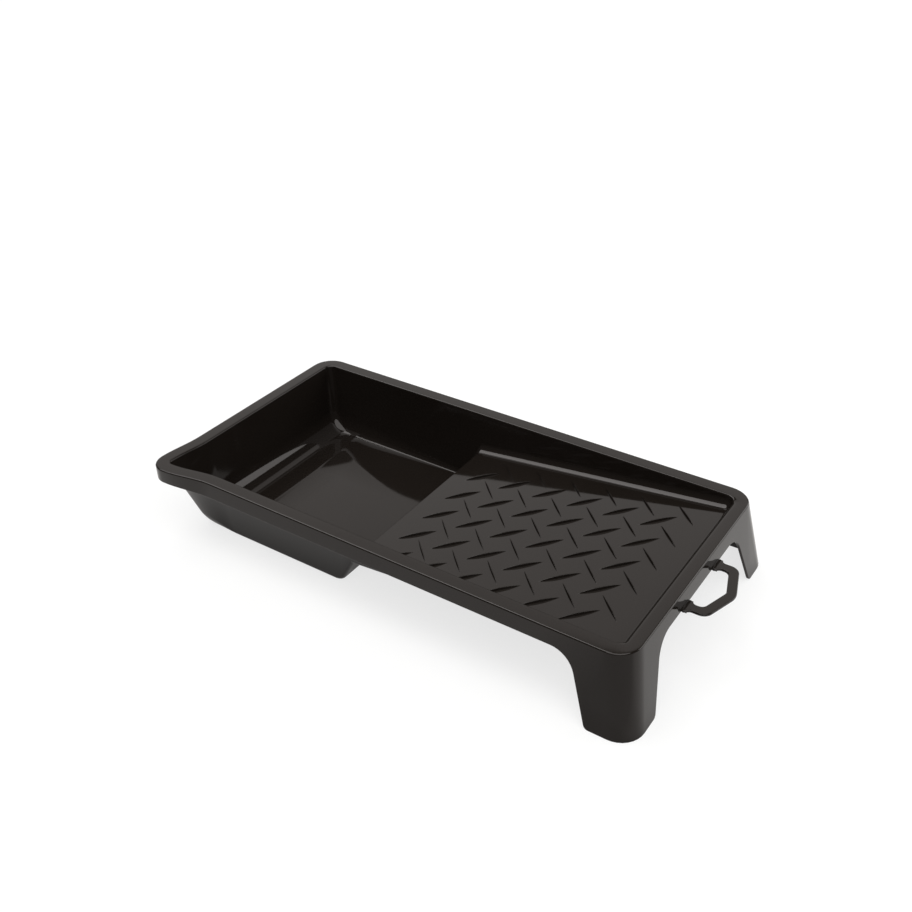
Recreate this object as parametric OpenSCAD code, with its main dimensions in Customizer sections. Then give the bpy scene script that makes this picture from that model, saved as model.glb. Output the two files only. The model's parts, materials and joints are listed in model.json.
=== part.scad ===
// Mini paint roller tray: one thin plastic moulding with a deep well, a treaded ramp, a skirted rim,
// two corner legs, a pouring corner and a hanging loop that folds on a film hinge.
// X runs along the tray with the ramp end at +X, Y runs across it and Z = 0 is the ground.

/* [Tray] */
// Length over the rim
rim_l = 290; // [260:1:320]
// Width over the rim
rim_w = 148; // [130:1:180]
// Height of the rim's top above the ground
tray_h = 43; // [40:0.5:52]
// Wall thickness of the moulding
wall_t = 1.6; // [1.2:0.1:2.2]

/* [Rim and skirt] */
// Width of the flat rim
flange_w = 8; // [7:0.5:9]
// Outer radius of the rim's corners
rim_r = 13; // [11.5:0.5:16]
// Depth of the skirt below the rim's top
skirt_h = 8.3; // [6:0.1:10]
// Outward lean of the skirt and the legs, in millimetres per millimetre of drop
flare = 0.196; // [0.1:0.002:0.21]

/* [Pouring corner] */
// How far the pouring corner stands out past the end of the rim
lip_out_end = 2.7; // [1:0.1:4]
// How far the pouring corner stands out past the front of the rim
lip_out_front = 4.6; // [2:0.1:6]
// Outer radius of the pouring corner's tip
lip_r = 10.4; // [9.5:0.1:13]
// Length of the pouring corner along the end of the rim
lip_run_end = 34; // [28:1:45]
// Length of the pouring corner along the front of the rim
lip_run_front = 50; // [40:1:70]

/* [Well and ramp] */
// Inward lean of the inner walls, in millimetres per millimetre of drop
lean = 0.172; // [0.12:0.002:0.19]
// Length of the ramp, from its lower edge to the inner edge of the rim
ramp_l = 155.5; // [130:0.5:170]
// Height of the ramp's lower edge above the ground
ramp_low_h = 20.4; // [16:0.2:24]
// Depth of the ramp's upper end below the rim's top
ramp_drop = 5.8; // [4.5:0.1:9]
// Slope of the riser between the well and the ramp, in degrees
riser_angle = 60; // [50:1:75]

/* [Tread] */
// Length of a tread rib
rib_l = 21; // [16:0.5:23]
// Width of a tread rib's base at its middle
rib_w = 1; // [0.8:0.1:2]
// Width of a tread rib's crest at its middle
rib_crest_w = 0.5; // [0.3:0.05:0.7]
// Height of a tread rib at its middle
rib_h = 1.2; // [0.8:0.1:2.2]
// Spacing of ribs that lie the same way
rib_pitch = 21.7; // [20:0.1:26]
// Shift of the tread from the middle of the ramp, along it
rib_shift_x = -0.8; // [-2:0.1:2]
// Shift of the tread from the middle of the ramp, across it
rib_shift_y = -1.3; // [-2:0.1:2]
// Least distance between the ribs and the ramp's edges
rib_margin = 5; // [3:0.5:8]

/* [Legs] */
// Width of each face of a leg at the ground, from the leg's outer corner
leg_w = 24.2; // [20:0.2:32]
// Lean of a leg's free edges, in degrees
leg_edge_lean = 20; // [5:1:25]
// Radius between a leg's free edge and the skirt
arch_r = 14; // [6:0.5:16]

/* [Hanging loop] */
// Width over the loop
loop_w = 41.2; // [36:0.2:52]
// Reach of the loop past the skirt
loop_reach = 17.6; // [15:0.2:24]
// Width of the loop's band
loop_band = 5; // [4:0.1:6]
// Thickness of the loop
loop_t = 1.6; // [1.2:0.1:2.4]
// How far the middle of the loop stands out past its shoulders
loop_peak = 6.6; // [2:0.1:7]
// Outer radius of the loop's shoulders
loop_shoulder_r = 5.5; // [3:0.1:6]
// Outer radius of the loop's middle
loop_tip_r = 10; // [5:0.5:12]
// Radius of the eye's corners
loop_eye_r = 3.2; // [2:0.1:3.6]
// Length of the flared root of each loop arm
loop_root_l = 2.6; // [1.5:0.1:4]
// How far each root flares past the arm on either side
loop_root_flare = 2; // [1:0.1:3]
// Clearance between the loop's root and the skirt
hinge_gap = 0.3; // [0.2:0.05:0.5]

/* [Hidden] */

// Straight pieces to a quarter turn of a rounded corner
arc_steps = 8;
// Pieces along a blend of the pouring corner
blend_steps = 10;
// Handles of those blends, as shares of their length
end_handle = 0.5;
front_handle = 0.4;
// Turn of the tread ribs from the tray's length
rib_turn = 45;
// A size past every edge of the tray
far = 400;

flange_z = tray_h - wall_t;
skirt_z = tray_h - skirt_h;
in_l = rim_l - 2 * flange_w;
in_w = rim_w - 2 * flange_w;
in_r = rim_r - flange_w;
spread = flare * flange_z;
narrow = lean * flange_z;

// The rim's centre, set so that the whole tray, loop and pouring corner included, is centred on X = 0
skirt_reach = flare * (flange_z - skirt_z);
lip_tip = rim_l / 2 + lip_out_end + skirt_reach * (1 + lip_out_end / lip_run_front);
loop_tip = rim_l / 2 + skirt_reach + loop_reach;
rim_x = (lip_tip - loop_tip) / 2;

// Planes that part the pieces, measured from the rim's centre
corner_x = rim_l / 2 - rim_r;
corner_y = rim_w / 2 - rim_r;
lip_x = lip_run_front - rim_l / 2;
lip_y = lip_run_end - rim_w / 2;
wall_x = in_l / 2 - narrow - 2 * in_r;

// Side profile of the well floor, riser and ramp
ramp_x = in_l / 2 - ramp_l;
ramp_high_h = tray_h - ramp_drop;
ramp_slope = (ramp_high_h - ramp_low_h) / ramp_l;
riser_run = 1 / tan(riser_angle);
foot_x = ramp_x - (ramp_low_h - wall_t) * riser_run;
riser_t = wall_t / sin(riser_angle);
under_foot_x = foot_x - wall_t * riser_run + riser_t;
under_top_z = (ramp_low_h - wall_t + ramp_slope * (under_foot_x - ramp_x)) / (1 - ramp_slope * riser_run);
under_top_x = under_foot_x + under_top_z * riser_run;

// Leg outline: where the arch leaves the free edge and where it meets the skirt
foot_in_x = rim_l / 2 + spread - leg_w;
foot_in_y = rim_w / 2 + spread - leg_w;
edge_run = tan(leg_edge_lean);
arch_rise = skirt_z - arch_r * (1 - sin(leg_edge_lean));
arch_run = arch_rise * edge_run + arch_r * cos(leg_edge_lean);

// Tread layout on the ramp
ramp_angle = atan(ramp_slope);
deck_w = in_w - 2 * lean * (flange_z - ramp_low_h);
rib_step = rib_l * cos(rib_turn);
rib_cols = 1 + floor((ramp_l - 2 * rib_margin - rib_pitch / 2 - rib_step) / rib_pitch);
rib_rows = 1 + floor((deck_w - 2 * rib_margin - rib_pitch / 2 - rib_step) / rib_pitch);
rib_sections = 8;

// Hinge line of the loop
hinge_x = rim_l / 2 + skirt_reach + hinge_gap + loop_t / 2;
loop_in_w = loop_w - 2 * loop_band;
root_r = loop_root_flare;

plastic = [0.09, 0.09, 0.088];

function unit(v) = v / norm(v);

// Points of an arc that rounds the corner b between a and c
function corner_arc(a, b, c, r) =
    let (
        u = unit(a - b),
        v = unit(c - b),
        half = acos(u * v) / 2,
        centre = b + unit(u + v) * r / sin(half),
        from = b + u * r / tan(half) - centre,
        to = b + v * r / tan(half) - centre,
        start = atan2(from[1], from[0]),
        turn = atan2(from[0] * to[1] - from[1] * to[0], from * to)
    )
    [for (i = [0 : arc_steps])
        let (turned = start + turn * i / arc_steps)
        centre + r * [cos(turned), sin(turned)]];

// Closed outline whose corners are rounded by the radius given beside each point
function rounded(corners) =
    let (n = len(corners))
    [for (i = [0 : n - 1])
        let (
            b = [corners[i][0], corners[i][1]],
            a = [corners[(i + n - 1) % n][0], corners[(i + n - 1) % n][1]],
            c = [corners[(i + 1) % n][0], corners[(i + 1) % n][1]],
            r = corners[i][2]
        )
        each (r > 0 ? corner_arc(a, b, c, r) : [b])];

function plate(l, w, r) =
    rounded([[-l / 2, -w / 2, r], [l / 2, -w / 2, r], [l / 2, w / 2, r], [-l / 2, w / 2, r]]);

// Smooth blend between two points with a handle at each
function blend(p, q, r, s) =
    [for (i = [0 : blend_steps])
        let (k = i / blend_steps, m = 1 - k)
        m * m * m * p + 3 * m * m * k * q + 3 * m * k * k * r + k * k * k * s];

// Edge of the pouring corner, set in from the outer edge and measured from the planes that part it off
function lip_edge(inset) =
    let (
        r = lip_r - inset,
        tip = [lip_r - lip_out_end - lip_run_front, lip_r - lip_out_front - lip_run_end],
        end_start = [inset - lip_run_front, 0],
        end_stop = [tip[0] - r, tip[1]],
        end_pull = [0, tip[1] * end_handle],
        front_start = [tip[0], tip[1] - r],
        front_stop = [0, inset - lip_run_end],
        front_pull = [-tip[0] * front_handle, 0]
    )
    concat(
        blend(end_start, end_start + end_pull, end_stop - end_pull, end_stop),
        [for (i = [1 : arc_steps - 1])
            let (turned = 180 + 90 * i / arc_steps)
            tip + r * [cos(turned), sin(turned)]],
        blend(front_start, front_start + front_pull, front_stop - front_pull, front_stop)
    );

function reversed(list) = [for (i = [len(list) - 1 : -1 : 0]) list[i]];

function lip_band(outer, inner) = concat(lip_edge(outer), reversed(lip_edge(inner)));

// Box between two corners, open ended where a limit is far away
module block(low, high) {
    translate(low)
        cube(high - low);
}

// Rounded plate that widens or narrows evenly as it drops from the flange to the ground
module drop(l, w, r, widen) {
    translate([0, 0, flange_z])
        mirror([0, 0, 1])
            linear_extrude(height = flange_z, scale = [1 + 2 * widen / l, 1 + 2 * widen / w], slices = 1)
                polygon(plate(l, w, r));
}

// Side outline pushed right across the tray
module across(outline) {
    translate([0, far / 2, 0])
        rotate([90, 0, 0])
            linear_extrude(height = far)
                polygon(outline);
}

// The space inside the inner walls
module cavity() {
    drop(in_l, in_w, in_r, -narrow);
}

// The inner walls all round, down to the underside of the floor, riser and ramp
module walls() {
    intersection() {
        difference() {
            drop(in_l + 2 * wall_t, in_w + 2 * wall_t, in_r + wall_t, -narrow);
            cavity();
        }
        across([
            [-far, 0], [under_foot_x, 0], [under_top_x, under_top_z],
            [far, ramp_high_h - wall_t + ramp_slope * (far - in_l / 2)], [far, far], [-far, far]
        ]);
    }
}

// The skirt and legs all round, before the arches are cut
module skirts() {
    difference() {
        drop(rim_l, rim_w, rim_r, spread);
        drop(rim_l - 2 * wall_t, rim_w - 2 * wall_t, rim_r - wall_t, spread);
    }
}

// The flat rim all round
module flange() {
    translate([0, 0, flange_z])
        linear_extrude(height = wall_t)
            difference() {
                polygon(plate(rim_l, rim_w, rim_r));
                polygon(plate(in_l, in_w, in_r));
            }
}

// A stretch of a ring, cut out between two corners and set at the rim's place
module stretch(low, high) {
    color(plastic)
        translate([rim_x, 0, 0])
            intersection() {
                children();
                block(low, high);
            }
}

module rim_front() {
    stretch([lip_x, -far, 0], [corner_x, 0, far]) flange();
}

module rim_back() {
    stretch([-corner_x, 0, 0], [corner_x, far, far]) flange();
}

module rim_well_end() {
    stretch([-far, lip_y, 0], [-corner_x, far, far]) flange();
}

module rim_ramp_end() {
    stretch([corner_x, -far, 0], [far, far, far]) flange();
}

module pour_lip() {
    color(plastic)
        translate([rim_x + lip_x, lip_y, flange_z])
            linear_extrude(height = wall_t)
                polygon(lip_band(0, flange_w));
}

module skirt_front() {
    stretch([lip_x, -far, skirt_z], [foot_in_x - arch_run, 0, flange_z]) skirts();
}

module skirt_back() {
    stretch([-corner_x, 0, skirt_z], [foot_in_x - arch_run, far, flange_z]) skirts();
}

module skirt_well_end() {
    stretch([-far, lip_y, skirt_z], [-corner_x, far, flange_z]) skirts();
}

module skirt_ramp_end() {
    stretch([corner_x, arch_run - foot_in_y, skirt_z], [far, foot_in_y - arch_run, flange_z]) skirts();
}

module pour_skirt() {
    lean_out = [1 + skirt_reach / lip_run_front, 1 + skirt_reach / lip_run_end];
    color(plastic)
        translate([rim_x + lip_x, lip_y, flange_z])
            mirror([0, 0, 1])
                linear_extrude(height = flange_z - skirt_z, scale = lean_out, slices = 1)
                    polygon(lip_band(0, wall_t));
}

// Outline of one leg face: free edge, arch and skirt, measured from the foot's free edge
function leg_face() =
    concat(
        [[0, 0], [far, 0], [far, flange_z], [-arch_run, flange_z]],
        [for (i = [0 : arc_steps])
            let (turn = 90 - (90 - leg_edge_lean) * i / arc_steps)
            [-arch_run, skirt_z - arch_r] + arch_r * [cos(turn), sin(turn)]]
    );

// Leg at the back corner, with a face on each side of the corner
module leg() {
    color(plastic)
        translate([rim_x, 0, 0])
            intersection() {
                skirts();
                union() {
                    intersection() {
                        translate([foot_in_x, 0, 0])
                            across(leg_face());
                        block([0, corner_y, 0], [far, far, far]);
                    }
                    intersection() {
                        translate([0, foot_in_y, 0])
                            rotate([90, 0, 90])
                                linear_extrude(height = far)
                                    polygon(leg_face());
                        block([corner_x, 0, 0], [far, far, far]);
                    }
                }
            }
}

module leg_front() {
    mirror([0, 1, 0])
        leg();
}

module leg_back() {
    leg();
}

// A slab of the tray's bed, cut to the space between the inner walls
module bed(outline) {
    color(plastic)
        translate([rim_x, 0, 0])
            intersection() {
                cavity();
                across(outline);
            }
}

module well_floor() {
    bed([[-far, 0], [under_foot_x, 0], [foot_x, wall_t], [-far, wall_t]]);
}

module riser() {
    bed([[under_foot_x, 0], [under_top_x, under_top_z], [ramp_x, ramp_low_h], [foot_x, wall_t]]);
}

module ramp_deck() {
    run_out = ramp_slope * (far - ramp_x);
    bed([
        [under_top_x, under_top_z], [far, ramp_low_h + run_out - wall_t],
        [far, ramp_low_h + run_out], [ramp_x, ramp_low_h]
    ]);
}

module well_end_wall() {
    stretch([-far, lip_y, 0], [-wall_x, far, flange_z]) walls();
}

module well_front_wall() {
    stretch([lip_x, -far, 0], [ramp_x, 0, flange_z]) walls();
}

module well_back_wall() {
    stretch([-wall_x, 0, 0], [ramp_x, far, flange_z]) walls();
}

module ramp_front_wall() {
    stretch([ramp_x, -far, 0], [wall_x, 0, flange_z]) walls();
}

module ramp_back_wall() {
    stretch([ramp_x, 0, 0], [wall_x, far, flange_z]) walls();
}

module ramp_end_wall() {
    stretch([wall_x, -far, 0], [far, far, flange_z]) walls();
}

// Solid under the pouring corner, from its edge at the flange down to the foot of the well's corner
module channel_form(inset) {
    foot_l = lip_run_front - inset - narrow;
    foot_w = lip_run_end - inset - narrow;
    slice = 0.01;
    hull() {
        translate([0, 0, flange_z - slice])
            linear_extrude(height = slice)
                polygon(concat(lip_edge(inset), [[0, 0]]));
        linear_extrude(height = slice)
            polygon(rounded([[0, 0, 0], [-foot_l, 0, 0], [-foot_l, -foot_w, in_r], [0, -foot_w, 0]]));
    }
}

module pour_channel() {
    color(plastic)
        translate([rim_x + lip_x, lip_y, 0])
            difference() {
                channel_form(flange_w - wall_t);
                channel_form(flange_w);
            }
}

// One rib: a thin steep blade with a narrow crest, which falls to a point at each end
module rib() {
    ring = [for (i = [1 : rib_sections - 1])
        let (
            s = 2 * i / rib_sections - 1,
            k = 1 - s * s,
            x = s * rib_l / 2,
            base = k * rib_w / 2,
            crest = k * rib_crest_w / 2
        )
        each [[x, -base, 0], [x, base, 0], [x, crest, k * rib_h], [x, -crest, k * rib_h]]];
    tips = [[-rib_l / 2, 0, 0], [rib_l / 2, 0, 0]];
    first = 4 * (rib_sections - 1);
    last = 4 * (rib_sections - 2);
    strips = [for (i = [0 : rib_sections - 3], j = [0 : 3])
        let (a = 4 * i + j, b = 4 * i + (j + 1) % 4)
        each [[a, a + 4, b + 4], [a, b + 4, b]]];
    ends = [for (j = [0 : 3])
        each [[first, j, (j + 1) % 4], [last + j, first + 1, last + (j + 1) % 4]]];
    polyhedron(points = concat(ring, tips), faces = concat(strips, ends));
}

module tread_ribs() {
    run = ramp_l / cos(ramp_angle);
    cols_l = (rib_cols - 1) * rib_pitch + rib_pitch / 2;
    rows_w = (rib_rows - 1) * rib_pitch + rib_pitch / 2;
    color(plastic)
        translate([rim_x + ramp_x, 0, ramp_low_h])
            rotate([0, -ramp_angle, 0])
                for (i = [0 : rib_cols - 1], j = [0 : rib_rows - 1], half = [0, 1])
                    translate([
                        (run - cols_l) / 2 + (i + half / 2) * rib_pitch + rib_shift_x,
                        (j + half / 2) * rib_pitch - rows_w / 2 + rib_shift_y,
                        0
                    ])
                        rotate([0, 0, half == 0 ? rib_turn : -rib_turn])
                            rib();
}

// Plan of the loop: outer edge from root to root, then the edge of the eye back again
function loop_plan() =
    let (
        outer = loop_w / 2,
        inner = loop_in_w / 2,
        slant = 1 / cos(atan(loop_peak / outer)),
        tip = loop_tip - hinge_x + loop_tip_r * (slant - 1),
        shoulder = tip - loop_peak,
        inner_tip = tip - loop_band * slant,
        inner_shoulder = inner_tip - loop_peak * inner / outer,
        root_out = outer + loop_root_flare,
        root_in = inner - loop_root_flare
    )
    rounded([
        [0, -root_out, 0], [loop_root_l, -outer, root_r], [shoulder, -outer, loop_shoulder_r],
        [tip, 0, loop_tip_r],
        [shoulder, outer, loop_shoulder_r], [loop_root_l, outer, root_r], [0, root_out, 0],
        [0, root_in, 0], [loop_root_l, inner, root_r], [inner_shoulder, inner, loop_eye_r],
        [inner_tip, 0, loop_eye_r],
        [inner_shoulder, -inner, loop_eye_r], [loop_root_l, -inner, root_r], [0, -root_in, 0]
    ]);

// Rounded nose of one root, centred on the hinge line
module loop_nose(side) {
    root_w = loop_band + 2 * loop_root_flare;
    translate([0, side * (loop_w - loop_band) / 2 + root_w / 2, 0])
        rotate([90, 0, 0])
            linear_extrude(height = root_w)
                polygon([for (i = [0 : arc_steps])
                    let (turn = 90 + 180 * i / arc_steps)
                    loop_t / 2 * [cos(turn), sin(turn)]]);
}

module hanging_loop() {
    color(plastic)
        translate([rim_x + hinge_x, 0, skirt_z])
            union() {
                translate([0, 0, -loop_t / 2])
                    linear_extrude(height = loop_t)
                        polygon(loop_plan());
                loop_nose(-1);
                loop_nose(1);
            }
}

rim_front();
rim_back();
rim_well_end();
rim_ramp_end();
pour_lip();
skirt_front();
skirt_back();
skirt_well_end();
skirt_ramp_end();
pour_skirt();
leg_front();
leg_back();
well_floor();
well_end_wall();
well_front_wall();
well_back_wall();
pour_channel();
riser();
ramp_deck();
ramp_front_wall();
ramp_back_wall();
ramp_end_wall();
tread_ribs();
hanging_loop();
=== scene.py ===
"""Looks of a mini paint roller tray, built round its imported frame.

One seamless black moulding with its tread, a hanging loop on two film hinges, and a plain studio."""

import json
import math
from collections import namedtuple

import bmesh
import bpy
from bpy.props import FloatProperty, FloatVectorProperty, IntProperty, PointerProperty
from mathutils import Euler, Matrix, Vector


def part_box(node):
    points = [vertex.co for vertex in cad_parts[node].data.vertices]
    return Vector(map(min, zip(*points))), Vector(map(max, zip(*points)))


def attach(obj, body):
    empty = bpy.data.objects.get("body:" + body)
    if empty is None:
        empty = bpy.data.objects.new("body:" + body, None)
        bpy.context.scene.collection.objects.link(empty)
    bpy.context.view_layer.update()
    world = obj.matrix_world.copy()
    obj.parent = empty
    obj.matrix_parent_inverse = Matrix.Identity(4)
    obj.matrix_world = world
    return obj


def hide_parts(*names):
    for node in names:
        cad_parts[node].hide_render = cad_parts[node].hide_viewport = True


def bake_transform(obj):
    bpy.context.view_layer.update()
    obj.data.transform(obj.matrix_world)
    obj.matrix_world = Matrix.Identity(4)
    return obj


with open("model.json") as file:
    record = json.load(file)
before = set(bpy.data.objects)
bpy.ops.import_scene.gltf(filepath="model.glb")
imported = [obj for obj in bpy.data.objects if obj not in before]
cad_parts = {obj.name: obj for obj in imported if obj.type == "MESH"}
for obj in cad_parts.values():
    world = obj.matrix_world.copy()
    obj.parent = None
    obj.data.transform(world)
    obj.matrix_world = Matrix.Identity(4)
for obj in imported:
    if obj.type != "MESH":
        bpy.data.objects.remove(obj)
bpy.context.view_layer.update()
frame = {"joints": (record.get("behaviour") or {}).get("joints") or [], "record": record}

bl_info = {
    "name": "Paint Roller Tray",
    "version": (1, 0, 0),
    "blender": (4, 5, 0),
    "location": "View3D > Sidebar > Paint Tray",
    "description": "Makes a moulded paint roller tray with a folding loop, and a plain studio for it",
    "category": "Object",
}

MM = 0.001

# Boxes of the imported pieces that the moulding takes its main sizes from
RIM_LOW, RIM_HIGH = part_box("rim_back")
RIM_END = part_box("rim_ramp_end")[1].x
SKIRT_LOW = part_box("skirt_back")[0].z
LEG_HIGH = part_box("leg_back")[1]
FLOOR_LOW, FLOOR_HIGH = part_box("well_floor")
RISER_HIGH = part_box("riser")[1]
DECK_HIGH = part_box("ramp_deck")[1]
POUR_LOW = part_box("pour_lip")[0]
LOOP_LOW, LOOP_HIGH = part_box("hanging_loop")
FOLD = next(joint for joint in frame["joints"] if joint["name"] == "loop_fold")

# The rim's centre, its half sizes and its height
RIM_X = (RIM_LOW.x + RIM_HIGH.x) / 2
HALF_L = RIM_END - RIM_X
HALF_W = RIM_HIGH.y
TOP = RIM_HIGH.z
WALL = RIM_HIGH.z - RIM_LOW.z
FLANGE = RIM_HIGH.y - RIM_LOW.y
FLANGE_Z = TOP - WALL
SPREAD = LEG_HIGH.y - HALF_W

TRAY_NODES = [name for name in frame["record"]["behaviour"]["bodies"]["tray"] if name != "tread_ribs"]


def linear(code):
    """Linear colour of an sRGB hex code."""
    parts = [int(code[i:i + 2], 16) / 255 for i in (1, 3, 5)]
    return [c / 12.92 if c <= 0.04045 else ((c + 0.055) / 1.055) ** 2.4 for c in parts]


class MouldingSizes(bpy.types.PropertyGroup):
    """Sizes of the tray's moulding that the frame doesn't give."""

    rim_edge: FloatProperty(
        name="Rim edge", description="Rounding of the rim's outer edge",
        default=0.8 * MM, unit="LENGTH")
    inner_edge: FloatProperty(
        name="Inner edge", description="Rounding of the rim's inner edge",
        default=0.8 * MM, unit="LENGTH")
    free_edge: FloatProperty(
        name="Free edge", description="Rounding of the lower edges of the skirt and legs",
        default=0.35 * MM, unit="LENGTH")
    side_fillet: FloatProperty(
        name="Side fillet", description="Radius between the bed and the side walls",
        default=3.2 * MM, unit="LENGTH")
    end_fillet: FloatProperty(
        name="End fillet", description="Radius between the well's floor and its end wall",
        default=14.5 * MM, unit="LENGTH")
    deck_fillet: FloatProperty(
        name="Deck fillet", description="Radius between the ramp and its side walls",
        default=5.6 * MM, unit="LENGTH")
    end_turn: FloatProperty(
        name="End turn", description="Width over which the rim turns down into the ramp's end",
        default=2.4 * MM, unit="LENGTH")
    end_drop: FloatProperty(
        name="End drop", description="How far the rim's inner edge drops at the ramp's end",
        default=1 * MM, unit="LENGTH")
    ramp_end_fillet: FloatProperty(
        name="Ramp end fillet", description="Radius between the ramp's deck and its end wall",
        default=1.2 * MM, unit="LENGTH")
    under_side: FloatProperty(
        name="Side under", description="Outer radius between the underside and the side walls",
        default=3.4 * MM, unit="LENGTH")
    under_end: FloatProperty(
        name="End under", description="Outer radius between the underside and the well's end wall",
        default=10.6 * MM, unit="LENGTH")
    riser_fillet: FloatProperty(
        name="Riser fillet", description="Radius between the well's floor and the riser",
        default=6 * MM, unit="LENGTH")
    deck_edge: FloatProperty(
        name="Deck edge", description="Rounding of the ramp's lower edge",
        default=0.7 * MM, unit="LENGTH")
    well_corner: FloatProperty(
        name="Well corner", description="Inner radius of the walls' corners at the ground",
        default=5.5 * MM, unit="LENGTH")
    floor_corner: FloatProperty(
        name="Floor corner", description="Radius of the corners of the well's flat floor",
        default=6 * MM, unit="LENGTH")
    under_corner: FloatProperty(
        name="Under corner", description="Radius of the corners of the well's flat underside",
        default=7.6 * MM, unit="LENGTH")
    deck_corner: FloatProperty(
        name="Deck corner", description="Radius of the corners of the ramp's flat deck",
        default=3.5 * MM, unit="LENGTH")
    riser_angle: FloatProperty(
        name="Riser angle", description="Slope of the riser between the well and the ramp",
        default=math.radians(60), subtype="ANGLE")
    leg_edge_lean: FloatProperty(
        name="Leg edge lean", description="Lean of a leg's free edges",
        default=math.radians(20), subtype="ANGLE")
    leg_width: FloatProperty(
        name="Leg width", description="Width of each face of a leg at the ground",
        default=24.2 * MM, unit="LENGTH")
    leg_corner: FloatProperty(
        name="Leg corner", description="Outer radius of a leg's corner at the ground",
        default=12.8 * MM, unit="LENGTH")
    arch_radius: FloatProperty(
        name="Arch radius", description="Radius between a leg's free edge and the skirt",
        default=14 * MM, unit="LENGTH")
    foot_radius: FloatProperty(
        name="Foot radius", description="Rounding where a leg's free edge meets the ground",
        default=3 * MM, unit="LENGTH")
    pour_end_run: FloatProperty(
        name="Pour end run", description="Length of the pouring corner along the tray's end",
        default=32 * MM, unit="LENGTH")
    pour_front_run: FloatProperty(
        name="Pour front run", description="Length of the pouring corner along the tray's front",
        default=40 * MM, unit="LENGTH")
    pour_front_out: FloatProperty(
        name="Pour front out", description="How far the pouring corner stands out past the front",
        default=4.6 * MM, unit="LENGTH")
    pour_radius: FloatProperty(
        name="Pour radius", description="Outer radius of the pouring corner's tip",
        default=10.4 * MM, unit="LENGTH")


class TreadSizes(bpy.types.PropertyGroup):
    """Sizes and layout of the ribs on the ramp."""

    length: FloatProperty(
        name="Length", description="Length of a rib", default=22 * MM, unit="LENGTH")
    width: FloatProperty(
        name="Width", description="Width of a rib's base at its middle", default=1 * MM, unit="LENGTH")
    height: FloatProperty(
        name="Height", description="Height of a rib at its middle", default=1.4 * MM, unit="LENGTH")
    pitch: FloatProperty(
        name="Pitch", description="Spacing of ribs that lie the same way",
        default=21.7 * MM, unit="LENGTH")
    shift_x: FloatProperty(
        name="Shift along", description="Shift of the tread from the ramp's middle, along it",
        default=-0.8 * MM, unit="LENGTH")
    shift_y: FloatProperty(
        name="Shift across", description="Shift of the tread from the ramp's middle, across it",
        default=-1.3 * MM, unit="LENGTH")
    root: FloatProperty(
        name="Root", description="Depth of a rib's root in the deck", default=0.5 * MM, unit="LENGTH")
    columns: IntProperty(
        name="Columns", description="Ribs that lie the same way, along the ramp", default=6)
    rows: IntProperty(
        name="Rows", description="Ribs that lie the same way, across the ramp", default=5)


class LoopSizes(bpy.types.PropertyGroup):
    """Sizes of the hanging loop that the frame doesn't give."""

    band: FloatProperty(
        name="Band", description="Width of the loop's band", default=5 * MM, unit="LENGTH")
    peak: FloatProperty(
        name="Peak", description="How far the loop's middle stands out past its shoulders",
        default=6.6 * MM, unit="LENGTH")
    shoulder_radius: FloatProperty(
        name="Shoulder radius", description="Outer radius of the loop's shoulders",
        default=5.5 * MM, unit="LENGTH")
    tip_radius: FloatProperty(
        name="Tip radius", description="Outer radius of the loop's middle",
        default=10 * MM, unit="LENGTH")
    eye_radius: FloatProperty(
        name="Eye radius", description="Radius of the eye's corners", default=3.2 * MM, unit="LENGTH")
    root: FloatProperty(
        name="Root", description="Length of each arm's flared root", default=2.6 * MM, unit="LENGTH")
    flare: FloatProperty(
        name="Flare", description="How far a root flares past its arm on either side",
        default=2 * MM, unit="LENGTH")
    edge: FloatProperty(
        name="Edge", description="Rounding of the loop's edges", default=0.5 * MM, unit="LENGTH")
    film: FloatProperty(
        name="Film", description="Thickness of the film hinge at each root",
        default=1.4 * MM, unit="LENGTH")


class Finish(bpy.types.PropertyGroup):
    """Colours of the plastic and the studio."""

    plastic: FloatVectorProperty(
        name="Plastic", description="Black of the moulded polypropylene",
        default=linear("#191512"), subtype="COLOR", size=3)
    rubbed: FloatVectorProperty(
        name="Rubbed plastic", description="Plastic where its skin is a little rubbed",
        default=linear("#1E1A17"), subtype="COLOR", size=3)
    floor: FloatVectorProperty(
        name="Floor", description="Pale studio floor",
        default=linear("#8C8C8B"), subtype="COLOR", size=3)


def settings():
    """The sizes and colours held by the scene."""
    return bpy.context.scene.paint_tray


class TraySettings(bpy.types.PropertyGroup):
    """Everything that a user would change."""

    moulding: PointerProperty(type=MouldingSizes)
    tread: PointerProperty(type=TreadSizes)
    loop: PointerProperty(type=LoopSizes)
    finish: PointerProperty(type=Finish)


# Mesh helpers

# Steps that curves and rounded edges are drawn in
ARC_STEPS = 8
FILLET_STEPS = 16
WELL_END_STEPS = 10
RIM_STEPS = 4
FREE_STEPS = 2
LOOP_STEPS = 3
FILM_STEPS = 8
# Points nearer than this are one
WELD = 0.01 * MM


def round_corner(a, b, c, radius):
    """Points of the arc that rounds the corner b of the path a, b, c."""
    u = (a - b).normalized()
    v = (c - b).normalized()
    half = u.angle(v) / 2
    centre = b + (u + v).normalized() * radius / math.sin(half)
    start = b + u * radius / math.tan(half) - centre
    turn = math.copysign(math.pi - 2 * half, v.cross(u)) / ARC_STEPS
    return [centre + Matrix.Rotation(turn * i, 2) @ start for i in range(ARC_STEPS + 1)]


def rounded_path(points, radii):
    """Path from the first point to the last, with each corner between rounded by its radius."""
    path = [points[0]]
    for a, b, c, radius in zip(points, points[1:], points[2:], radii):
        path += round_corner(a, b, c, radius)
    return path + [points[-1]]


def height_at(path, x):
    """Height, at x, of a path that runs along +X."""
    for a, b in zip(path, path[1:]):
        if a.x <= x <= b.x:
            return a.y + (b.y - a.y) * (x - a.x) / (b.x - a.x)
    raise ValueError(f"the path doesn't reach {x}")


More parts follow.
